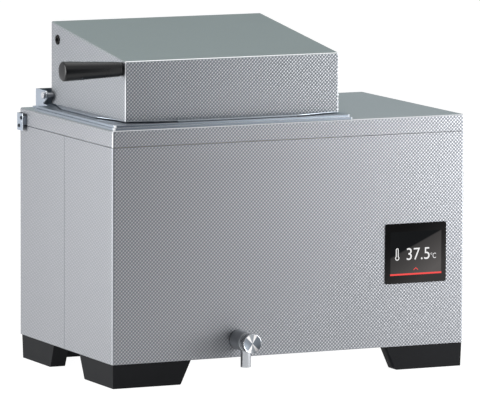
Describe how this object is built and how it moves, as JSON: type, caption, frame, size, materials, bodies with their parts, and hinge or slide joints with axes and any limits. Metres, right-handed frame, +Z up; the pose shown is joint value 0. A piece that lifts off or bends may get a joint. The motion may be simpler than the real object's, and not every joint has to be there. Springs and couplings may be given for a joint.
{
  "type": "heated water bath",
  "caption": "Bench water bath in embossed stainless steel with a pitched hinged lid, side handle, touch display and front drain tap",
  "frame": {"origin": "on the bench plane, midway along and across everything that the object covers", "axes": "+Z up, the front with the display and tap towards -Y, the handle out towards -X"},
  "size_m": [0.6492, 0.3996, 0.5155],
  "materials": {
    "embossed_steel": "embossed stainless sheet",
    "smooth_steel": "satin stainless sheet",
    "drawn_steel": "satin, drawn",
    "zinc_steel": "zinc plated",
    "tap_nickel": "satin nickel",
    "brass_fitting": "turned",
    "black_handle": "moulded, satin",
    "black_plastic": "moulded",
    "foot_plastic": "moulded, fine grain",
    "black_rubber": "moulded",
    "hose_silicone": "translucent silicone",
    "mat_silicone": "silicone heating mat",
    "mineral_fibre": "pressed fibre",
    "black_glass": "black printed glass",
    "board_green": "lacquered board",
    "screen_panel": "dark panel",
    "winding_copper": "laminated iron and copper winding",
    "sink_aluminium": "extruded",
    "relay_plastic": "moulded",
    "terminal_plastic": "moulded",
    "pin_brass": "nickel plated"
  },
  "bodies": {
    "casing": {"base_plate": "zinc_steel", "front_casing": "embossed_steel", "rear_casing": "embossed_steel", "top_cover": "smooth_steel", "tub": "drawn_steel", "floor_grid": "drawn_steel", "heater_mats": "mat_silicone", "insulation_jacket": "mineral_fibre", "probe_gland": "brass_fitting", "temperature_probe": "drawn_steel", "cutout_bulb": "winding_copper", "drain_fitting": "drawn_steel", "drain_nut": "brass_fitting", "drain_hose": "hose_silicone", "tap_body": "tap_nickel", "tap_gasket": "black_rubber", "tap_nut": "brass_fitting", "tap_bonnet": "tap_nickel", "tap_o_ring": "black_rubber", "hinge_bracket": "smooth_steel", "bracket_screws": "zinc_steel", "seam_clip_left": "smooth_steel", "seam_clip_right": "smooth_steel", "clip_screws": "zinc_steel", "foot_screws": "zinc_steel", "display_glass": "black_glass", "display_housing": "black_plastic", "screen_module": "screen_panel", "display_board": "board_green", "board_screws": "zinc_steel", "partition": "zinc_steel", "board_standoffs": "brass_fitting", "control_board": "board_green", "transformer": "winding_copper", "heat_sink": "sink_aluminium", "relay": "relay_plastic", "terminal_block": "terminal_plastic", "power_inlet": "black_plastic", "inlet_pins": "pin_brass", "fuse_drawer": "black_plastic", "foot_front_left": "foot_plastic", "foot_rear_left": "foot_plastic", "foot_front_right": "foot_plastic", "foot_rear_right": "foot_plastic"},
    "lid": {"lid": "embossed_steel", "lid_rim": "smooth_steel", "port_grommet": "black_rubber", "handle_grip": "black_handle", "handle_stud": "zinc_steel", "handle_washer": "zinc_steel", "handle_nut": "zinc_steel", "pivot_screws": "zinc_steel", "pivot_spacers": "zinc_steel", "pivot_nuts": "zinc_steel"},
    "tap_knob": {"tap_knob": "tap_nickel", "tap_stem": "brass_fitting"},
    "tap_valve": {"valve_disc": "brass_fitting", "valve_washer": "black_rubber"},
    "power_rocker": {"power_rocker": "black_plastic"}
  },
  "joints": [
    {"name": "lid_hinge", "type": "hinge", "parent": "casing", "child": "lid", "pos_m": [-0.05495, 0.14618, 0.4045], "axis": [-1, 0, 0], "range_deg": [0, 67.5]},
    {"name": "knob_turn", "type": "hinge", "parent": "casing", "child": "tap_knob", "pos_m": [-0.05745, -0.14982, 0.0625], "axis": [0, 1, 0], "range_deg": [0, 540]},
    {"name": "valve_travel", "type": "slide", "parent": "casing", "child": "tap_valve", "axis": [0, -1, 0], "range_m": [0, 0.00225]},
    {"name": "rocker_tip", "type": "hinge", "parent": "casing", "child": "power_rocker", "pos_m": [0.25655, 0.19468, 0.122], "axis": [-1, 0, 0], "range_deg": [0, 16]}
  ],
  "couplings": [
    {"joint": "valve_travel", "follows": "knob_turn", "m_per_rad": 0.00023873}
  ]
}
